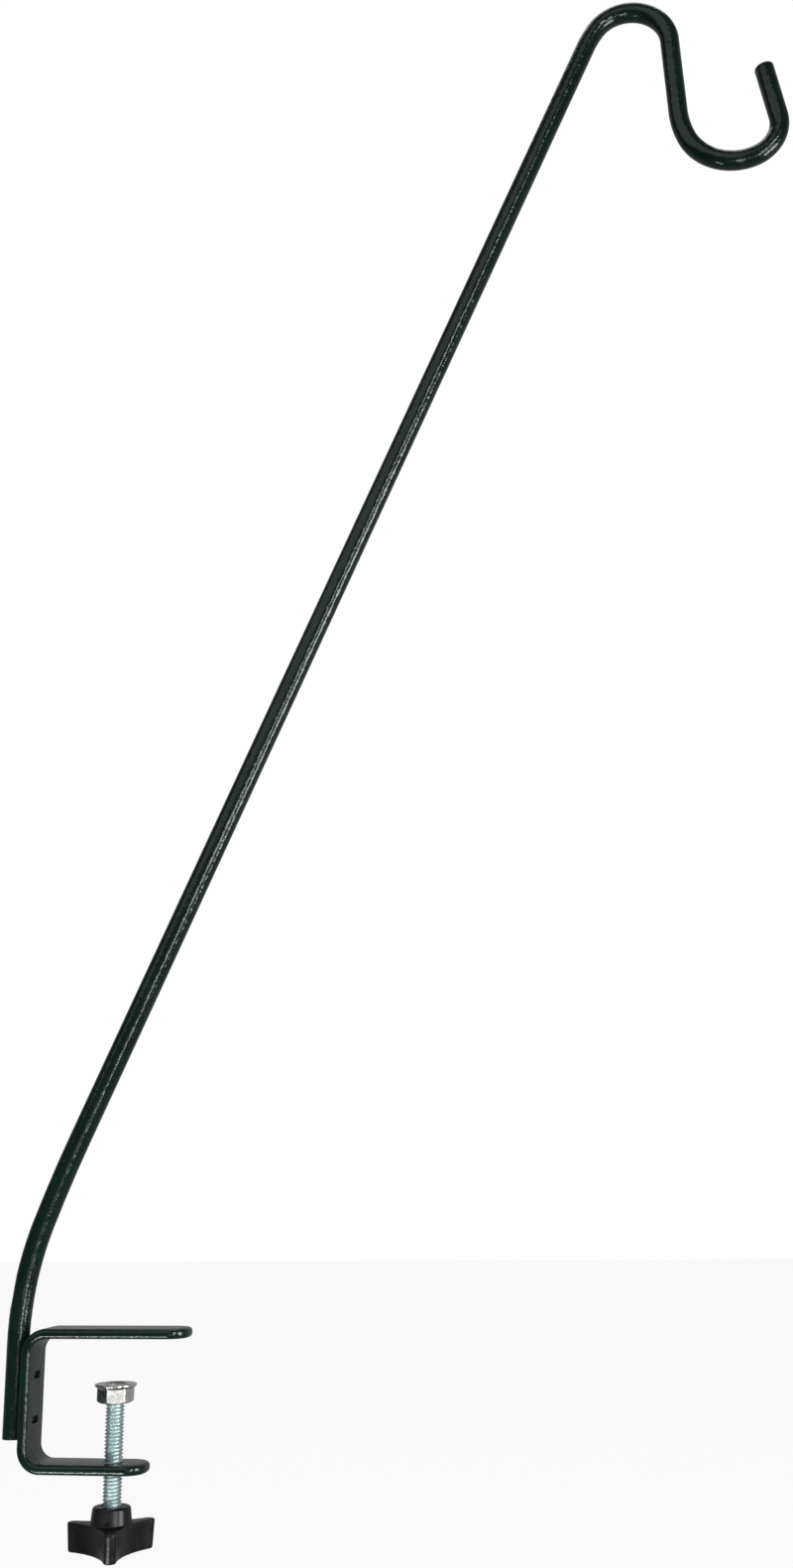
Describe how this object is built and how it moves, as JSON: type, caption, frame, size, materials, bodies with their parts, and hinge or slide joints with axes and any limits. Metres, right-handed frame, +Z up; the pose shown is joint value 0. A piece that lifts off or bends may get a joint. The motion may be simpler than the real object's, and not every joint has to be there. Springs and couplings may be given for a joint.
{
  "type": "clamp-on deck hook",
  "caption": "Bent round-bar hook on a C-shaped flat-bar clamp, with a thumb screw that clamps it to a deck rail.",
  "frame": {"origin": "on the screw's axis, in the underside of the upper tab, which sits on the rail", "axes": "+Z up, +X out along the tabs and towards the hook, +Y away from the picture's viewer"},
  "size_m": [0.3697, 0.0351, 0.7269],
  "materials": {
    "powder_coat": "gloss",
    "painted_weld": "satin",
    "nut_plate": "bright",
    "screw_plate": "satin",
    "knob_plastic": "satin"
  },
  "bodies": {
    "bracket": {"hook_rod": "powder_coat", "clamp_bracket": "powder_coat", "upper_weld_plug": "painted_weld", "lower_weld_plug": "painted_weld"},
    "foot": {"flange_nut": "nut_plate"},
    "screw": {"clamp_screw": "screw_plate", "star_knob": "knob_plastic"}
  },
  "joints": [
    {"name": "foot_slide", "type": "slide", "parent": "bracket", "child": "foot", "axis": [0, 0, 1], "range_m": [-0.02258, 0.01235]},
    {"name": "screw_turn", "type": "hinge", "parent": "foot", "child": "screw", "pos_m": [0, 0, -0.0777], "axis": [0, 0, 1], "range_deg": [-5760, 3150]}
  ],
  "couplings": [
    {"joint": "screw_turn", "follows": "foot_slide", "rad_per_m": 4452.7}
  ]
}
